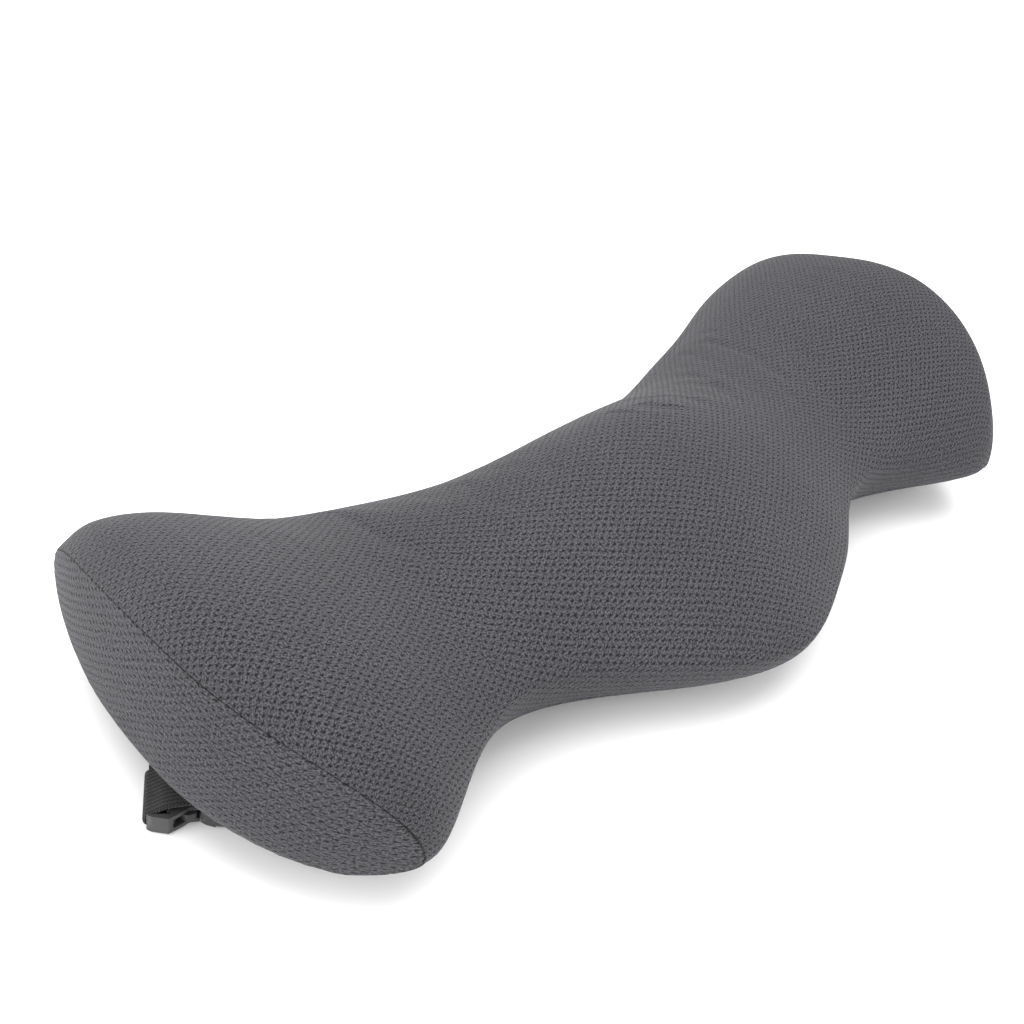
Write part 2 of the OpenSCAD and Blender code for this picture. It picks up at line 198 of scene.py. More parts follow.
def air_mesh_material():
    """Knitted spacer mesh: staggered rows of small openings, painted dark as the shade inside them, between pale
    ridges of yarn.
    """
    n = Nodes("air_mesh")
    weave = n.add("Attribute", attribute_name="weave").outputs["Vector"]
    place = n.add("TexCoord").outputs["Object"]
    offsets = []
    for scale, reach in ((150.0, 0.0010), (650.0, 0.0009)):
        wobble = n.add("TexNoise")
        n.put(weave, wobble.inputs["Vector"])
        wobble.inputs["Scale"].default_value = scale
        off = n.vector("SCALE", n.vector("SUBTRACT", wobble.outputs["Color"], (0.5, 0.5, 0.5)))
        off.node.inputs["Scale"].default_value = reach
        offsets.append(off)
    at = n.vector("ADD", n.vector("ADD", weave, offsets[0]), offsets[1])
    at = n.vector("MULTIPLY", at, (1 / CELL[0], 1 / CELL[1], 0.0))
    distances = []
    for shift in (0.0, 0.5):
        moved = n.vector("ADD", at, (shift, shift, 0.0))
        part = n.vector("SUBTRACT", n.vector("FRACTION", moved), (0.5, 0.5, 0.0))
        part = n.vector("MULTIPLY", part, (CELL[0] * 700, CELL[1] * 1380, 0.0))
        distances.append(n.vector("LENGTH", part))
    near = n.math("MINIMUM", *distances)
    ridge = n.smooth(near, 0.08, 0.88)
    yarn = n.noise(weave, 1400.0, 3.0)
    # painted shade: the fabric colour goes near black where its edge turns in at a seam, driven by the turn-in depth
    # in weave z
    edge = n.smooth(n.add("SeparateXYZ", weave).outputs[2], 0.00008, 0.00045)
    patch = n.noise(place, 14.0, 2.0)
    height = n.math("ADD", ridge, n.math("MULTIPLY", yarn, 0.5))
    tone = n.math("MULTIPLY", n.smooth(yarn, 0.30, 0.70, 0.15, 2.10),
            n.smooth(patch, 0.3, 0.7, 0.94, 1.06))
    light = n.vector("SCALE", (0.0403, 0.0393, 0.0438))
    n.put(tone, light.node.inputs["Scale"])
    # painted shade: the openings between the ridges take a near-black colour for the shade inside them; the ridges
    # keep the yarn's own grey
    colour = n.mix(edge, n.mix(ridge, (0.0045, 0.0044, 0.0049, 1), light),
            (0.0035, 0.0035, 0.0038, 1))
    normal = n.bump(height, 0.0005)
    return n.finish(colour, n.smooth(ridge, 0.0, 1.0, 0.95, 0.8), normal, Sheen_Weight=0.09,
            Sheen_Roughness=0.45,
                    Sheen_Tint=(0.88, 0.88, 0.92, 1), Specular_IOR_Level=0.2)


def knit_material(name, level, tint, pitch):
    """A fine knit or an open-cell foam: small even cells with a soft bump, darkened in their hollows as painted
    shade.
    """
    n = Nodes(name)
    place = n.add("TexCoord").outputs["Object"]
    cells = n.add("TexVoronoi")
    n.put(place, cells.inputs["Vector"])
    cells.inputs["Scale"].default_value = 1.0 / pitch
    depth = n.smooth(cells.outputs["Distance"], 0.1, 0.7)
    # painted shade: the cell hollows, sunk by the bump, take the darker colour
    dark = tuple(0.7 * level * t for t in tint) + (1.0,)
    pale = tuple(level * t for t in tint) + (1.0,)
    return n.finish(n.mix(depth, dark, pale), n.smooth(depth, 0.0, 1.0, 0.95, 0.85),
                    n.bump(depth, pitch * 0.4), Sheen_Weight=0.1)


def webbing_material():
    """Elastic webbing: fine ribs across it and a twill of yarns along it."""
    n = Nodes("webbing")
    weave = n.add("Attribute", attribute_name="weave").outputs["Vector"]
    axes = n.add("SeparateXYZ", weave)
    along, across = axes.outputs[0], axes.outputs[1]
    row = n.math("FRACT", n.math("MULTIPLY", across, 1 / 0.0016))
    turn = n.math("MULTIPLY", n.math("ABSOLUTE", n.math("SUBTRACT", row, 0.5)), 0.0022)
    yarn = n.math("SINE", n.math("MULTIPLY", n.math("ADD", along, turn), 2 * math.pi / 0.0011))
    ribs = n.math("ABSOLUTE", n.math("SINE", n.math("MULTIPLY", across, math.pi / 0.0016)))
    fuzz = n.noise(weave, 2200.0, 2.0)
    height = n.math("ADD", n.math("MULTIPLY", yarn, 0.5),
            n.math("ADD", ribs, n.math("MULTIPLY", fuzz, 0.6)))
    tone = n.smooth(n.math("ADD", n.math("MULTIPLY", yarn, 0.25), fuzz), 0.2, 0.85)
    colour = n.mix(tone, (0.0040, 0.0040, 0.0042, 1), (0.0186, 0.0186, 0.0190, 1))
    return n.finish(colour, n.smooth(fuzz, 0.3, 0.7, 0.7, 0.9), n.bump(height, 0.00025),
                    Sheen_Weight=0.10, Sheen_Roughness=0.5, Specular_IOR_Level=0.3)


def plastic_material(name, level, rough, grain):
    """Moulded plastic or painted metal: a fine grain, paler colour on sharply convex edges and faint tone changes."""
    n = Nodes(name)
    place = n.add("TexCoord").outputs["Object"]
    fine = n.noise(place, grain, 3.0)
    broad = n.noise(place, 90.0, 2.0)
    # the colour turns paler where the surface is sharply convex
    edge = n.smooth(n.add("NewGeometry").outputs["Pointiness"], 0.5, 0.62)
    base = n.mix(broad, grey(level * 0.86), grey(level * 1.14))
    colour = n.mix(n.math("MULTIPLY", edge, 0.5), base, grey(level * 2.4))
    return n.finish(colour, n.smooth(fine, 0.25, 0.75, rough - 0.07, rough + 0.08),
            n.bump(fine, 0.00004, 0.6),
                    Specular_IOR_Level=0.5)


def thread_material():
    """Twisted sewing thread."""
    n = Nodes("seam_thread")
    place = n.add("TexCoord").outputs["Object"]
    turns = n.add("TexWave", wave_type="BANDS", bands_direction="DIAGONAL")
    n.put(place, turns.inputs["Vector"])
    turns.inputs["Scale"].default_value = 900.0
    turns.inputs["Distortion"].default_value = 1.5
    twist = turns.outputs["Fac"]
    return n.finish(n.mix(twist, grey(0.008), grey(0.028)), n.smooth(twist, 0.0, 1.0, 0.8, 0.6),
                    n.bump(twist, 0.0001), Sheen_Weight=0.2)


def tape_material():
    """Woven zip tape."""
    n = Nodes("zip_tape")
    place = n.add("TexCoord").outputs["Object"]
    weft = n.add("TexWave", wave_type="BANDS", bands_direction="X")
    warp = n.add("TexWave", wave_type="BANDS", bands_direction="Y")
    for wave in (weft, warp):
        n.put(place, wave.inputs["Vector"])
        wave.inputs["Scale"].default_value = 330.0
    woven = n.math("MULTIPLY", weft.outputs["Fac"], warp.outputs["Fac"])
    return n.finish(n.mix(woven, grey(0.016), grey(0.05)), n.smooth(woven, 0.0, 1.0, 0.9, 0.75),
                    n.bump(woven, 0.00015), Sheen_Weight=0.15)


def floor_material():
    n = Nodes("floor")
    place = n.add("TexCoord").outputs["Object"]
    tone = n.noise(place, 3.0, 2.0)
    return n.finish(n.mix(tone, (0.93, 0.93, 0.93, 1), (0.95, 0.95, 0.95, 1)), 0.9,
            Specular_IOR_Level=0.1)


MATERIALS = {
    "air_mesh": air_mesh_material(),
    "foam": knit_material("foam", 0.72, (1.0, 0.94, 0.72), 0.0014),
    "liner_knit": knit_material("liner_knit", 0.75, (1.0, 1.0, 0.95), 0.0011),
    "webbing": webbing_material(),
    "buckle_plastic": plastic_material("buckle_plastic", 0.021, 0.38, 1500.0),
    "zip_nylon": plastic_material("zip_nylon", 0.030, 0.45, 2200.0),
    "zip_metal": plastic_material("zip_metal", 0.040, 0.32, 2600.0),
    "seam_thread": thread_material(),
    "zip_tape": tape_material(),
}

# ---------------------------------------------------------------- mesh helpers


def make_object(name, points, faces, slot, body="cushion", weave=None, sharp=None):
    """A smooth-shaded mesh from points in millimetres, with its fabric coordinates."""
    mesh = bpy.data.meshes.new(name)
    mesh.from_pydata((np.asarray(points, float).reshape(-1, 3) * MM).tolist(), [], faces)
    if weave is not None:
        attribute = mesh.attributes.new("weave", "FLOAT_VECTOR", "POINT")
        flat = np.asarray(weave, float)
        flat = flat.reshape(-1, flat.shape[-1])
        flat = np.pad(flat, ((0, 0), (0, 3 - flat.shape[1]))) * MM
        attribute.data.foreach_set("vector", flat.astype(np.float32).ravel())
    mesh.update()
    made = bpy.data.objects.new(name, mesh)
    bpy.context.scene.collection.objects.link(made)
    work = bmesh.new()
    work.from_mesh(mesh)
    bmesh.ops.recalc_face_normals(work, faces=work.faces)
    work.to_mesh(mesh)
    work.free()
    mesh.shade_smooth()
    if sharp:
        mesh.set_sharp_from_angle(angle=math.radians(sharp))
    mesh.materials.append(MATERIALS[slot])
    if body:
        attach(made, body)
    return made


def grid_faces(rows, columns, first=0, wrap=False):
    """Quads over a grid of points, each row closed on itself if wrap."""
    last = columns if wrap else columns - 1
    return [
        (first + i * columns + j, first + i * columns + (j + 1) % columns,
         first + (i + 1) * columns + (j + 1) % columns, first + (i + 1) * columns + j)
        for i in range(rows - 1) for j in range(last)
    ]


def rim_of(rows, columns):
    """Indices round the edge of an open grid, in order."""
    return (list(range(columns)) + [i * columns + columns - 1 for i in range(1, rows)]
            + [(rows - 1) * columns + j for j in range(columns - 2, -1, -1)]
            + [i * columns for i in range(rows - 2, 0, -1)])


def panel(name, outer, inner, slot, weave, **kind):
    """A fabric panel as a closed shell between an outer and an inner grid."""
    rows, columns = outer.shape[:2]
    count = rows * columns
    rim = rim_of(rows, columns)
    faces = grid_faces(rows, columns) + grid_faces(rows, columns, count)
    faces += [(rim[k], rim[(k + 1) % len(rim)], count + rim[(k + 1) % len(rim)], count + rim[k])
              for k in range(len(rim))]
    points = np.concatenate([outer.reshape(-1, 3), inner.reshape(-1, 3)])
    return make_object(name, points, faces, slot,
            weave=np.concatenate([weave.reshape(-1, 3)] * 2), **kind)


def grid_normals(points):
    """Unit normals of a grid of points, as the cross of its two directions."""
    normal = np.cross(np.gradient(points, axis=0), np.gradient(points, axis=1))
    return normal / np.maximum(np.linalg.norm(normal, axis=-1, keepdims=True), 1e-9)


def run_length(points, axis):
    """Distance along a grid's lines from their first point."""
    step = np.linalg.norm(np.diff(points, axis=axis), axis=-1)
    pad = [(0, 0)] * step.ndim
    pad[axis] = (1, 0)
    return np.pad(np.cumsum(step, axis=axis), pad)


# ---------------- shape of the cushion, as in the CAD model

HALF_L = 222.0
SEAM_ANGLE = 24.0
STRAP_Y = -25.0
ZIP_Y = 17.0
END_CROWN = 5.0


def ease(t):
    t = np.clip(t, 0.0, 1.0)
    return t * t * (3.0 - 2.0 * t)


def lower_w(u):
    return 100.0 - 45.0 * ease(u / 0.525) + 27.0 * ease((u - 0.525) / 0.422)


def upper_w(u):
    return 50.0 + 47.0 * ease((u - 0.208) / 0.822)


def side_w(u, y, off):
    return np.where(y < 0, lower_w(u), upper_w(u)) - off


def front_h(u):
    return (76.0 - 17.0 * ease(u / 0.513) + 30.0 * ease((u - 0.513) / 0.418)
            - 14.0 * np.clip((u - 0.931) / 0.069, 0, None) ** 2)


def belt_h(u):
    return 32.0 + 6.0 * (ease(2 * u) - ease(2 * u - 1))


def rise(u):
    return 18.0 * np.clip((u - 0.6) / 0.4, 0, None) ** 1.5


def valley(y, at, depth, flat, fade):
    return depth * (1.0 - ease((np.abs(y - at) - flat) / fade))


def press(y):
    return np.maximum(valley(y, STRAP_Y, 5.8, 16.5, 6.0), valley(y, ZIP_Y, 5.2, 6.5, 5.0))


def under_h(u, y, off):
    c = np.minimum(1.0, np.abs(y) / side_w(u, y, off)) ** (1 / 1.1)
    low = rise(u) + off
    round_h = belt_h(u) - (belt_h(u) - low + 8.0) * np.sqrt(1.0 - c * c) ** 0.95
    return np.maximum(round_h, np.maximum(low, press(y) + off))


def long_x(su, c, off):
    return su * (HALF_L - off) - np.where(c < 0, 36.0, 18.0) * c * c * su * np.abs(su) ** 3


def over_point(su, angle, off):
    """Front and sides: angle 0 is the lower edge, 90 the crest and 180 the upper edge."""
    su, angle = np.broadcast_arrays(np.asarray(su, float), np.asarray(angle, float))
    u = np.abs(su)
    across, up = np.cos(np.radians(angle)), np.sin(np.radians(angle))
    c = -np.sign(across) * np.abs(across) ** 1.1
    y = c * side_w(u, c, off)
    crest = front_h(u) - off - belt_h(u)
    dome = belt_h(u) + crest * np.clip(up, 0, None) ** (1.67 - 0.61 * ease(u))
    return np.stack([long_x(su, c, off), y, np.where(up < 0, under_h(u, y, off), dome)], -1)


def under_point(su, y, off):
    su, y = np.broadcast_arrays(np.asarray(su, float), np.asarray(y, float))
    u = np.abs(su)
    return np.stack([long_x(su, y / side_w(u, y, off), off), y, under_h(u, y, off)], -1)


def seam_y(u, side, off):
    return side * side_w(u, side, off) * math.cos(math.radians(SEAM_ANGLE)) ** 1.1


def gap_half(u):
    return 4.5 * (1 - ease((u - 0.664) * 45))


# ---------------------------------------------------------------- cover

ROLL = 1.0
EDGE_STEPS = np.array([0.0, 0.04, 0.15, 0.35, 0.6, 1.0, 1.6, 2.6])
COVER_T = 2.6


def with_edges(low, high, step, scale_low, scale_high):
    """Parameter values from low to high, close together at both ends; the scales turn millimetres into parameter."""
    near, far = low + EDGE_STEPS * scale_low, high - EDGE_STEPS * scale_high
    count = max(2, int(round((far[-1] - near[-1]) / step)))
    return np.concatenate([near, np.linspace(near[-1], far[-1], count + 1)[1:-1], far[::-1]])


def roll_in(distance, radius=ROLL):
    """How deep a panel's edge has turned in at a distance from the seam."""
    t = np.clip(1.0 - distance / radius, 0.0, 1.0)
    return radius * (1.0 - np.sqrt(1.0 - t * t))


def outward(points, normal, middle):
    """The normals, all turned away from the middle line of the cushion."""
    sign = np.sign(((points - middle) * normal).sum())
    return normal * sign


def wrinkles(points):
    """Small folds of the cover on the far slope of the middle."""
    height = np.zeros(points.shape[:2])
    for x, y, turn, length, width, deep in WRINKLES:
        c, s = math.cos(math.radians(turn)), math.sin(math.radians(turn))
        dx, dy = points[..., 0] - x, points[..., 1] - y
        along, across = dx * c + dy * s, dy * c - dx * s
        height += deep * np.exp(-(along / length) ** 2) * np.exp(-(across / width) ** 2) * (1 - (across / width) ** 2)
    return height


WRINKLES = (
    (23.0, 10.0, -42.0, 7.0, 1.9, 0.95),
    (7.0, 13.0, -60.0, 8.0, 1.9, 0.8),
    (28.0, 4.0, -38.0, 6.0, 1.8, 0.6),
    (33.0, 20.0, -50.0, 9.0, 3.4, -0.7),
    (24.0, 2.0, -35.0, 9.0, 3.4, -0.5),
    (47.0, 9.0, -55.0, 12.0, 4.0, 0.4),
)


# Where the soft body stands a little out of its even form, or in: place, reach, amount
LEANS = (
    (-187, 75, 63, 26, 2.9), (-138, 71, 39, 26, -3.0), (-32, 48, 38, 22, -1.8),
            (-3, 35, 55, 18, -0.3),
    (92, 58, 38, 32, 2.3), (200, 92, 45, 24, -2.4), (205, 42, 82, 20, -1.4),
            (183, -75, 52, 26, -0.9),
    (62, -75, 35, 24, 3.0), (-212, -50, 26, 20, 1.5),
)


def lean(points):
    """Small uneven movements of the soft body, out from its middle line."""
    away = points - [0.0, 0.0, 35.0]
    away[..., 0] = 0
    away /= np.maximum(np.linalg.norm(away, axis=-1, keepdims=True), 1e-9)
    amount = np.zeros(points.shape[:-1])
    for x, y, z, reach, out in LEANS:
        amount += out * np.exp(-((points - [x, y, z]) ** 2).sum(-1) / reach ** 2)
    moved = away * amount[..., None]
    moved[..., 2] *= np.clip(points[..., 2] / 15.0, 0, 1)
    return moved


START_IN = 0.6
LEAST_OUT, MOST_OUT = -0.3, 2.4


PRESSURE, CLOTH_MASS = 10.0, 0.1
STRETCH, SHEAR = 4.0, 2.0
CLOTH_QUALITY, LAST_MOMENT = 5, 20


def swell():
    """How far the filling presses the cover out between its seams.

    It comes from a cloth simulation of a coarse copy.
    """
    stations = np.linspace(-1, 1, 91)
    angles = np.linspace(-SEAM_ANGLE, 180 + SEAM_ANGLE, 61)
    shares = np.sin(np.linspace(0.1, 1.0, 12) * math.pi / 2)[:-1]
    middle = belt_h(1.0)

    def ring(su, off):
        under = np.linspace(seam_y(abs(su), 1, off), seam_y(abs(su), -1, off), 22)[1:-1]
        return np.concatenate([over_point(su, angles, off), under_point(su, under, off)])

    def cap(side, share, off):
        rim = ring(side, off)
        y = share * rim[:, 1]
        x = side * (long_x(1.0, y / side_w(1.0, rim[:, 1], off), off)
                + END_CROWN * (1 - share ** 2))
        return np.stack([x, y, middle + share * (rim[:, 2] - middle)], -1)

    def form(off):
        return np.array([cap(-1, s, off) for s in shares] + [ring(su, off) for su in stations]
                        + [cap(1, s, off) for s in shares[::-1]])

    nominal, start = form(0.0), form(START_IN)
    rows, columns = nominal.shape[:2]
    first, last = len(shares), len(shares) + len(stations) - 1
    held = np.zeros((rows, columns), bool)
    held[[first, last]] = True
    held[first:last + 1, len(angles):] = True
    held[first:last + 1, [0, len(angles) - 1]] = True
    start[held] = nominal[held]
    moved = np.zeros((rows, columns))
    tips = [[side * (HALF_L + END_CROWN - START_IN), 0, middle] for side in (-1, 1)]
    count = rows * columns
    faces = grid_faces(rows, columns, 0, True)
    faces += [((j + 1) % columns, j, count) for j in range(columns)]
    faces += [(count - columns + j, count - columns + (j + 1) % columns, count + 1)
            for j in range(columns)]
    pad = make_object("pad", np.concatenate([start.reshape(-1, 3), tips]), faces, "air_mesh")
    pad.vertex_groups.new(name="held").add(np.flatnonzero(held.ravel()).tolist(), 1.0,
            "REPLACE")
    cloth = pad.modifiers.new("cloth", "CLOTH")
    cloth.settings.use_pressure = True
    cloth.settings.uniform_pressure_force = PRESSURE
    cloth.settings.mass = CLOTH_MASS
    cloth.settings.tension_stiffness = STRETCH
    cloth.settings.compression_stiffness = STRETCH
    cloth.settings.shear_stiffness = SHEAR
    cloth.settings.effector_weights.gravity = 0.0
    cloth.settings.vertex_group_mass = "held"
    cloth.settings.quality = CLOTH_QUALITY
    cloth.point_cache.frame_start, cloth.point_cache.frame_end = 1, LAST_MOMENT
    for moment in range(1, LAST_MOMENT + 1):
        bpy.context.scene.frame_set(moment)
    settled = pad.evaluated_get(bpy.context.evaluated_depsgraph_get()).data
    places = np.zeros(3 * (count + 2))
    settled.vertices.foreach_get("co", places)
    settled = places.reshape(-1, 3)[:count].reshape(rows, columns, 3) / MM
    bpy.context.scene.frame_set(1)
    bpy.data.objects.remove(pad)
    normal = np.cross(np.gradient(nominal, axis=0),
            np.roll(nominal, -1, 1) - np.roll(nominal, 1, 1))
    normal /= np.maximum(np.linalg.norm(normal, axis=-1, keepdims=True), 1e-9)
    normal = outward(nominal, normal, (0, 0, 35))
    moved = ((settled - nominal) * normal).sum(-1)
    moved = np.where(held, 0.0, np.clip(moved, LEAST_OUT, MOST_OUT))
    ends = np.concatenate([nominal[:first + 1].reshape(-1, 3), nominal[last:].reshape(-1, 3)])
    ends_moved = np.concatenate([moved[:first + 1].ravel(), moved[last:].ravel()])
    return {"stations": stations, "angles": angles, "front": moved[first:last + 1, :len(angles)],
            "ends": (ends, ends_moved)}


def nearby(field, points):
    """Values known at scattered points, carried to others from the closest ones."""
    places, values = field
    tree = KDTree(len(places))
    for k, place in enumerate(places):
        tree.insert(place, k)
    tree.balance()
    result = np.zeros(points.shape[:2])
    for at in np.ndindex(*result.shape):
        found = tree.find_n(points[at], 5)
        weights = np.array([1.0 / (distance + 0.5) ** 2 for _, _, distance in found])
        result[at] = (weights * values[[k for _, k, _ in found]]).sum() / weights.sum()
    return result


SWELL = swell()


def front_weave(su, angle):
    """Knit rows of the front: they run along it, and drift towards the upper edge close to the end seams."""
    flat = over_point(su[:, None], angle[None], 0.0)
    flat[..., 1] = 0.0
    along = run_length(flat, 0)
    along -= along[np.argmin(np.abs(su))]
    around = run_length(over_point(np.clip(su, -0.9, 0.9)[:, None], angle[None], 0.0), 1)
    around -= np.array([np.interp(90.0, angle, row) for row in around])[:, None]
    kernel = np.ones(9) / 9
    padded = np.pad(around, ((4, 4), (0, 0)), mode="edge")
    around = np.apply_along_axis(np.convolve, 0, padded, kernel, mode="valid")
    drift = 7.5 * np.clip((-su - 0.87) / 0.13, 0, None) ** 2.3 + 16.0 * np.clip(su, 0, None) ** 1.8
    stretch = (1 + 0.20 * np.exp(-((su + 0.74) / 0.11) ** 2) - 0.17 * ease((-su - 0.84) / 0.10)
               - 0.18 * ease((su - 0.4) / 0.4))
    along = np.diff(along, axis=0) / ((stretch[1:] + stretch[:-1]) / 2)[:, None]
    along = np.pad(np.cumsum(along, axis=0), ((1, 0), (0, 0)))
    along -= along[np.argmin(np.abs(su))]
    return np.stack([along, around - drift[:, None]], -1)


def front_cover():
    su = with_edges(-1.0, 1.0, 1.4 / HALF_L, 1 / HALF_L, 1 / HALF_L)
    angle = with_edges(-SEAM_ANGLE, 180 + SEAM_ANGLE, 1.4, 0.75, 0.75)
    nominal = over_point(su[:, None], angle[None], 0.0)
    normal = outward(nominal, grid_normals(nominal), (0, 0, 35))
    along, around = run_length(nominal, 0), run_length(nominal, 1)
    to_end = np.minimum(along, along[-1:] - along)
    to_long = np.minimum(around, around[:, -1:] - around)
    depth = np.maximum(roll_in(to_end), roll_in(to_long))
    grid = SWELL["front"]
    across = np.array([np.interp(angle, SWELL["angles"], row) for row in grid])
    puffed = np.array([np.interp(su, SWELL["stations"], column) for column in across.T]).T
    nominal = nominal + lean(nominal)
    outer = nominal + normal * (puffed + wrinkles(nominal) - depth)[..., None]
    inner = nominal + normal * (np.maximum(puffed, 0.0) - COVER_T - 0.3)[..., None]
    # the third fabric coordinate is the turn-in depth, which the material uses to paint shade along the seams
    return panel("front_cover", outer, inner, "air_mesh",
            np.dstack([front_weave(su, angle), depth]))


def loop(su, off, fine=True):
    """Points all round the section at a station, from the lower seam over the crest."""
    over = with_edges(-SEAM_ANGLE, 180 + SEAM_ANGLE, 1.4, 0.75, 0.75)
    u = abs(su)
    low, high = seam_y(u, -1, off), seam_y(u, 1, off)
    under = np.linspace(high, low, 100)[1:-1]
    return np.concatenate([over_point(su, over, off), under_point(su, under, off)])


def end_cover(side, name):
    rim = loop(side, 0.0)
    middle = np.array([0.0, 0.0, belt_h(1.0)])
    reach = np.linalg.norm((rim - middle)[:, 1:], axis=1)
    steps = np.concatenate([EDGE_STEPS / 62.0, np.linspace(EDGE_STEPS[-1] / 62.0, 0.985, 34)[1:]])
    share = 1.0 - steps
    y = share[:, None] * rim[None, :, 1]
    z = middle[2] + share[:, None] * (rim[None, :, 2] - middle[2])
    c = y / side_w(1.0, rim[None, :, 1], 0.0)
    x = side * (long_x(1.0, c, 0.0) + END_CROWN * (1 - share[:, None] ** 2))
    nominal = np.stack([x, y, z], -1)
    normal = np.cross(np.gradient(nominal, axis=0),
            np.roll(nominal, -1, 1) - np.roll(nominal, 1, 1))
    normal /= np.maximum(np.linalg.norm(normal, axis=-1, keepdims=True), 1e-9)
    normal *= np.sign(normal[..., 0].sum()) * side
    depth = roll_in((1 - share[:, None]) * reach[None])
    puffed = nearby(SWELL["ends"], nominal)
    nominal = nominal + lean(nominal)
    outer = nominal + normal * (puffed - depth)[..., None]
    inner = nominal + normal * (np.maximum(puffed, 0.0) - COVER_T - 0.3)[..., None]
    rows, columns = nominal.shape[:2]
    count = rows * columns
    faces = grid_faces(rows, columns, 0, True) + grid_faces(rows, columns, count, True)
    faces += [(j, (j + 1) % columns, count + (j + 1) % columns, count + j) for j in range(columns)]
    points = np.concatenate([outer.reshape(-1, 3), inner.reshape(-1, 3)])
    tips = [2 * count, 2 * count + 1]
    last = (rows - 1) * columns
    faces += [(last + j, last + (j + 1) % columns, tips[0]) for j in range(columns)]
    faces += [(count + last + j, count + last + (j + 1) % columns, tips[1]) for j in range(columns)]
    tip = side * (HALF_L + END_CROWN)
    points = np.concatenate([points, [[tip, 0, middle[2]], [tip - side * COVER_T, 0, middle[2]]]])
    # the turn-in depth also goes to the material, which paints shade with it along the seam
    turned_in = np.concatenate([depth.ravel(), depth.ravel(), [0, 0]])
    return make_object(name, points, faces, "air_mesh",
            weave=np.column_stack([points[:, 1:], turned_in]))


def back_cover(upper, name):
    su = with_edges(-1.0, 1.0, 1.6 / HALF_L, 1 / HALF_L, 1 / HALF_L)
    u = np.abs(su)
    share = with_edges(0.0, 1.0, 0.025, 0.02, 0.02)
    if upper:
        start, stop = seam_y(u, 1, 0.0), ZIP_Y + gap_half(u)
    else:
        start, stop = ZIP_Y - gap_half(u), seam_y(u, -1, 0.0)
    y = start[:, None] + (stop - start)[:, None] * share[None]
    nominal = under_point(su[:, None], y, 0.0)
    normal = grid_normals(nominal)
    normal *= -np.sign(normal[..., 2].sum())
    along, around = run_length(nominal, 0), run_length(nominal, 1)
    to_end = np.minimum(along, along[-1:] - along)
    to_long = np.minimum(around, around[:, -1:] - around)
    depth = np.maximum(roll_in(to_end), roll_in(to_long))
    # the turn-in depth in the third place lets the material paint shade along the seams
    weave = np.dstack([nominal[..., 0], y, depth])
    nominal = nominal + lean(nominal)
    outer, inner = nominal - normal * depth[..., None], nominal - normal * (COVER_T + 0.3)
    return panel(name, outer, inner, "air_mesh", weave)


# ---------------------------------------------------------------- seams


def stitched_line(name, node, path, out, closed, r=0.34, stitch=3.0, gap=0.5):
    """A row of lockstitches along a path: each one bulges in the middle and dives at its ends."""
    path, out = np.asarray(path), np.asarray(out)
    if closed:
        path, out = np.concatenate([path, path[:1]]), np.concatenate([out, out[:1]])
    run = np.concatenate([[0], np.cumsum(np.linalg.norm(np.diff(path, axis=0), axis=1))])
    count = int(run[-1] // stitch)
    points, faces = [], []
    ring, sections = 6, 5
    for k in range(count):
        at = run[-1] * (k + np.linspace(gap / stitch / 2, 1 - gap / stitch / 2, sections)) / count
        p = np.stack([np.interp(at, run, path[:, i]) for i in range(3)], -1)
        n = np.stack([np.interp(at, run, out[:, i]) for i in range(3)], -1)
        t = np.gradient(p, axis=0)
        t /= np.linalg.norm(t, axis=1, keepdims=True)
        n -= (n * t).sum(1, keepdims=True) * t
        n /= np.linalg.norm(n, axis=1, keepdims=True)
        b = np.cross(t, n)
        share = np.linspace(-1, 1, sections)
        p = p - n * (0.5 * share ** 2)[:, None]
        size = r * np.sqrt(np.clip(1 - (0.9 * share) ** 4, 0.15, 1))
        first = len(points)
        for i in range(sections):
            for q in range(ring):
                a = 2 * math.pi * q / ring
                points.append(p[i] + size[i] * (math.cos(a) * n[i] + math.sin(a) * b[i]))
        faces += grid_faces(sections, ring, first, True)
        faces.append(tuple(range(first, first + ring)))
        faces.append(tuple(range(first + (sections - 1) * ring, first + sections * ring))[::-1])
    made = make_object(name, points, faces, "seam_thread")
    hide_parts(node)
    return made


def end_seam(side, name, node):
    rim = loop(side, 0.0)
    middle = np.array([0.0, 0.0, belt_h(1.0)])
    out = rim - np.array([rim[0, 0], 0, middle[2]])
    out[:, 0] = 0
    out /= np.linalg.norm(out, axis=1, keepdims=True)
    out[:, 0] = side * 0.8
    out /= np.linalg.norm(out, axis=1, keepdims=True)
    return stitched_line(name, node, rim + lean(rim) - out * 0.75, out, True)


def long_seam(side, name, node):
    su = np.linspace(-0.995, 0.995, 400)
    angle = -SEAM_ANGLE if side < 0 else 180 + SEAM_ANGLE
    path = over_point(su, angle, 0.0)
    out = np.zeros_like(path)
    out[:, 1], out[:, 2] = side * 0.6, -0.8
    return stitched_line(name, node, path + lean(path) - out * 0.6, out, False)


# ---------------------------------------------------------------- core and liner


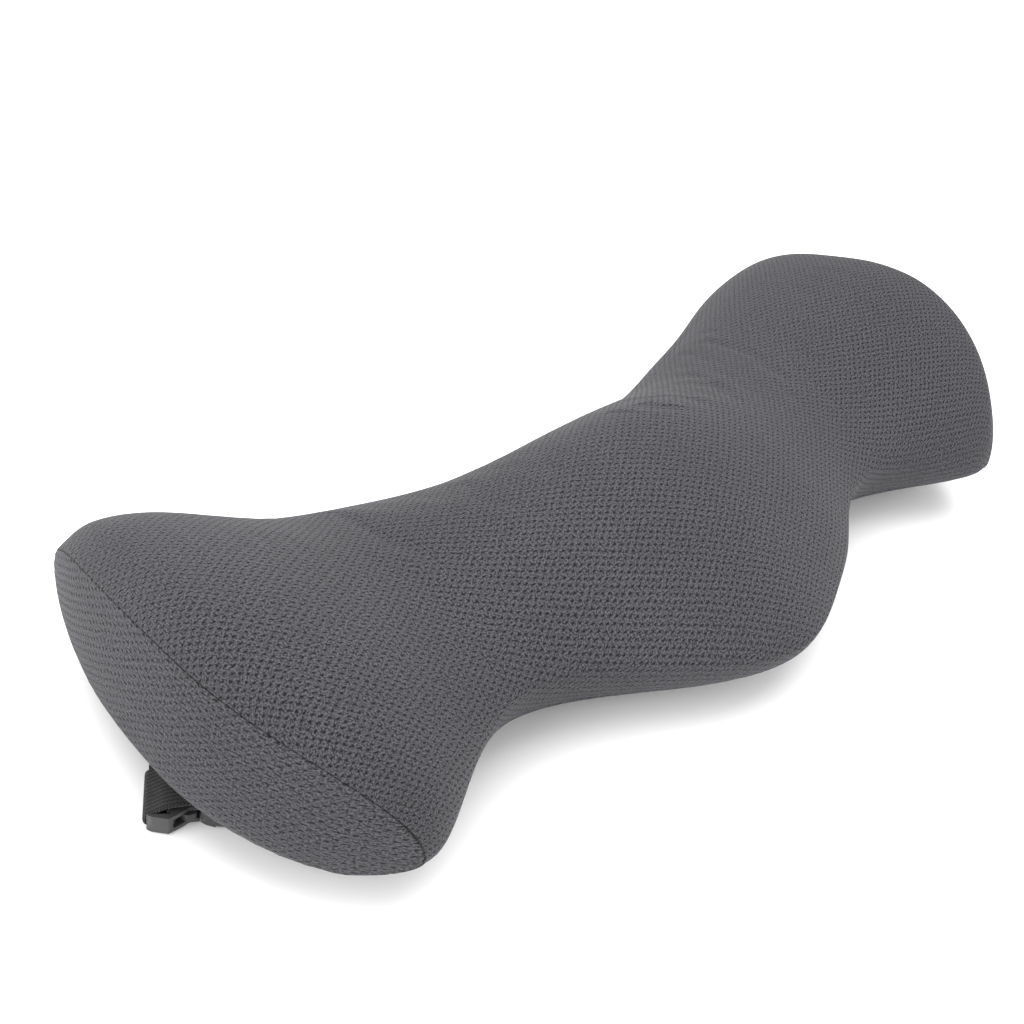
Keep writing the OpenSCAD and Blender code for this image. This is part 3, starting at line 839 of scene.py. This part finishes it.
def closed_form(name, off, slot, node, steps=90):
    """The cushion's whole form, off millimetres inside its cover."""
    rims = []
    middle = belt_h(1.0)
    shares = np.sin(np.linspace(0.12, 1.0, 9) * math.pi / 2)

    def cap(side, share):
        rim = loop(side, off)[::3]
        y = share * rim[:, 1]
        c = y / side_w(1.0, rim[:, 1], off)
        x = side * (long_x(1.0, c, off) + END_CROWN * (1 - share ** 2))
        return np.stack([x, y, middle + share * (rim[:, 2] - middle)], -1)

    rims += [cap(-1, s) for s in shares[:-1]]
    rims += [loop(su, off)[::3] for su in np.linspace(-1, 1, steps)]
    rims += [cap(1, s) for s in shares[:-1][::-1]]
    rims = np.array(rims)
    rows, columns = rims.shape[:2]
    faces = grid_faces(rows, columns, 0, True)
    tips = [[side * (HALF_L - off + END_CROWN), 0, middle] for side in (-1, 1)]
    count = rows * columns
    faces += [(j, (j + 1) % columns, count) for j in range(columns)]
    faces += [(count - columns + j, count - columns + (j + 1) % columns, count + 1)
            for j in range(columns)]
    made = make_object(name, np.concatenate([rims.reshape(-1, 3), tips]), faces, slot)
    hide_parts(node)
    return made


front = front_cover()
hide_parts("front_cover_panel")
for side, tag in ((-1, "left"), (1, "right")):
    cover = end_cover(side, "end_cover_" + tag)
    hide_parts("end_panel_" + tag)
    end_seam(side, "end_stitching_" + tag, "end_seam_" + tag)
for upper, side, tag in ((False, -1, "lower"), (True, 1, "upper")):
    cover = back_cover(upper, "back_cover_" + tag)
    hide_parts("back_panel_" + tag)
    long_seam(side, "long_stitching_" + tag, "long_seam_" + tag)
closed_form("foam_block", 4.0, "foam", "foam_core")
closed_form("liner_sock", 3.2, "liner_knit", "inner_liner")

# ---------------------------------------------------------------- webbing

BUCKLE_AT = np.array([-222.5, 8.0, 0.0])
BUCKLE_TURN = 36.0
WEB_HALF = 10.0
WEB_T = 1.2
BAR_Z, PLUG_BAR = 4.2, (31.0, 3.9)
WRAP_R = 1.6 + 0.2 + WEB_T / 2
MERGE_X = 44.0
LOW_Z, HIGH_Z = 1.5 + WEB_T / 2, 2.75 + WEB_T / 2


def turned(degrees):
    """Unit vectors along and across a direction in plan."""
    a = math.radians(degrees)
    return np.array([math.cos(a), math.sin(a), 0.0]), np.array([-math.sin(a), math.cos(a), 0.0])


def from_buckle(side_view):
    """Points given along the buckle and up, in the cushion's frame."""
    along, _ = turned(-BUCKLE_TURN)
    return [BUCKLE_AT + x * along + [0, 0, z] for x, z in side_view]


def arc(mid, r, start, stop, count):
    return [(mid[0] + r * math.cos(a), mid[1] + r * math.sin(a))
            for a in np.radians(np.linspace(start, stop, count))]


def smooth_path(points, across, step):
    """The points and width directions, evened out to a step along a smooth curve."""
    p, w = np.asarray(points, float), np.asarray(across, float)
    knots = np.concatenate([[0], np.cumsum(np.linalg.norm(np.diff(p, axis=0), axis=1))])
    slope = np.gradient(p, knots, axis=0)
    at = np.linspace(0, knots[-1], int(knots[-1] / step) + 1)
    k = np.clip(np.searchsorted(knots, at, side="right") - 1, 0, len(knots) - 2)
    h = (knots[k + 1] - knots[k])[:, None]
    t = ((at - knots[k])[:, None]) / h
    made = ((2 * t ** 3 - 3 * t ** 2 + 1) * p[k] + (t ** 3 - 2 * t ** 2 + t) * h * slope[k]
            + (3 * t ** 2 - 2 * t ** 3) * p[k + 1] + (t ** 3 - t ** 2) * h * slope[k + 1])
    width = np.stack([np.interp(at, knots, w[:, i]) for i in range(3)], -1)
    return made, width / np.linalg.norm(width, axis=1, keepdims=True), at


def ribbon(name, points, across, node, step=0.8, body="cushion"):
    """Flat webbing with rounded edges, swept along a path."""
    path, width, run = smooth_path(points, across, step)
    ahead = np.gradient(path, axis=0)
    up = np.cross(ahead, width)
    up /= np.linalg.norm(up, axis=1, keepdims=True)
    r = WEB_T / 2
    outline = [(x, r) for x in np.linspace(-WEB_HALF + r, WEB_HALF - r, 12)]
    outline += [(WEB_HALF - r + r * math.cos(a), r * math.sin(a))
            for a in np.radians([60, 30, 0, -30, -60])]
    outline += [(x, -r) for x in np.linspace(WEB_HALF - r, -WEB_HALF + r, 12)]
    outline += [(-WEB_HALF + r - r * math.cos(a), r * math.sin(a))
            for a in np.radians([-60, -30, 0, 30, 60])]
    made = [[p + x * w + z * u for x, z in outline] for p, w, u in zip(path, width, up)]
    weave = [[(a, x + 0.6 * z) for x, z in outline] for a in run]
    faces = grid_faces(len(path), len(outline), 0, True)
    last = (len(path) - 1) * len(outline)
    faces += [tuple(range(len(outline))), tuple(range(last, last + len(outline)))[::-1]]
    web = make_object(name, made, faces, "webbing", body=body, weave=weave, sharp=50)
    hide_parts(node)
    return web


buckle_across = turned(-BUCKLE_TURN)[1]
anchor_side = [(25, 9.6), (20, 10.45), (15, 11.3), (9, 10.9), (4, 9.5), (1, 7.5)]
anchor_side += arc((0, BAR_Z), WRAP_R, 105, 290, 12) + [(2.6, 2.7), (4.2, 4.4)]
ribbon("anchor_webbing", from_buckle(anchor_side), [buckle_across] * len(anchor_side),
        "strap_anchor")

bend_from = BUCKLE_AT[1] - MERGE_X * math.sin(math.radians(BUCKLE_TURN))
bend_r = (bend_from - STRAP_Y) / (1 - math.cos(math.radians(BUCKLE_TURN)))
straight_x = (BUCKLE_AT[0] + MERGE_X * math.cos(math.radians(BUCKLE_TURN))
              + bend_r * math.sin(math.radians(BUCKLE_TURN)))


def bend(z, turns):
    """Path and width directions of the flat bend between the buckle and the straight run."""
    found = []
    for turn in turns:
        along, across = turned(turn)
        found.append((np.array([straight_x, STRAP_Y + bend_r, z]) - bend_r * across, across))
    return found


def long_strap():
    """One length of webbing: sewn at the right end, round the plug's bar and back to its tail."""
    straight = turned(0)[1]
    ends = under_point(np.arange(0.99, 0.81, -0.034), STRAP_Y, 0.0)
    ends[:, 2] -= WEB_T / 2 + 0.4 + 0.02 * (ends[:, 0] - 166.0)
    steps = [(p, straight) for p in ends]
    steps += [((x, STRAP_Y, LOW_Z), straight) for x in np.linspace(160, straight_x + 6, 24)]
    steps += bend(LOW_Z, np.linspace(0, -BUCKLE_TURN, 9))
    loop_side = [(MERGE_X - 3, LOW_Z), (PLUG_BAR[0] + 4, LOW_Z - 0.3)]
    loop_side += arc(PLUG_BAR, WRAP_R, 285, 75, 12)
    loop_side += [(PLUG_BAR[0] + 6, 5.2), (PLUG_BAR[0] + 10, HIGH_Z + 0.1)]
    steps += [(p, buckle_across) for p in from_buckle(loop_side)]
    steps += bend(HIGH_Z, np.linspace(-BUCKLE_TURN, 0, 9))
    steps += [((x, STRAP_Y, HIGH_Z), straight) for x in np.linspace(straight_x + 6, -88, 10)]
    web = ribbon("elastic_strap", [p for p, _ in steps], [a for _, a in steps], "long_strap",
            body=None)
    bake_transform(web)


long_strap()

# ---------------------------------------------------------------- hard pieces of the frame

SLOTS = {row["node"]: row["material_slot"] for row in frame["record"]["subparts"]}
BODIES = {node_name: body for body, names in frame["record"]["behaviour"]["bodies"].items()
        for node_name in names}


def eased(node_name, width, corner=0.0):
    """The CAD piece with its upright corners and then all its edges rounded over."""
    work = bmesh.new()
    work.from_mesh(frame["nodes"][node_name].data)
    bmesh.ops.remove_doubles(work, verts=work.verts, dist=1e-6)
    bmesh.ops.dissolve_limit(work, angle_limit=math.radians(1.0), verts=work.verts,
            edges=work.edges)
    for size, steps, least in ((corner, 5, 12), (width, 3, 30)):
        edges = [e for e in work.edges if len(e.link_faces) == 2 and e.calc_face_angle(0.0) > math.radians(least)]
        if size == corner:
            edges = [e for e in edges if abs((e.verts[0].co - e.verts[1].co).z) > 0.9 * e.calc_length()]
        if size:
            bmesh.ops.bevel(work, geom=edges, offset=size * MM, offset_type="OFFSET",
                    segments=steps, profile=0.5,
                            affect="EDGES", clamp_overlap=True)
    mesh = bpy.data.meshes.new(node_name + "_eased")
    work.to_mesh(mesh)
    work.free()
    mesh.shade_smooth()
    mesh.set_sharp_from_angle(angle=math.radians(42))
    piece = bpy.data.objects.new(node_name + "_eased", mesh)
    bpy.context.scene.collection.objects.link(piece)
    mesh.materials.append(MATERIALS[SLOTS[node_name]])
    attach(piece, BODIES[node_name])
    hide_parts(node_name)
    return piece


for node_name, width, corner in (
    ("buckle_socket", 0.4, 1.6), ("buckle_plug", 0.4, 1.2), ("buckle_prong_lower", 0.35, 0.6),
    ("buckle_prong_upper", 0.35, 0.6), ("strap_adjuster", 0.3, 1.0), ("zip_slider", 0.18, 0),
            ("zip_pull_tab", 0.2, 0),
    ("zip_stops", 0.25, 0), ("zip_teeth_lower", 0.2, 0), ("zip_teeth_upper", 0.2, 0),
    ("anchor_stitches_left", 0.14, 0), ("anchor_stitches_right", 0.14, 0),
):
    eased(node_name, width, corner)

for node_name, node in frame["nodes"].items():
    if not node.hide_render:
        node.data.materials.clear()
        node.data.materials.append(MATERIALS[SLOTS[node_name]])

# ---------------------------------------------------------------- floor

mesh = bpy.data.meshes.new("floor")
reach = 6.0
mesh.from_pydata([(-reach, -reach, 0), (reach, -reach, 0), (reach, reach, 0), (-reach, reach, 0)],
        [], [(0, 1, 2, 3)])
floor = bpy.data.objects.new("floor", mesh)
floor.location.z = CAD_BOX[0][2] - 0.0002
mesh.materials.append(floor_material())
bpy.context.scene.collection.objects.link(floor)
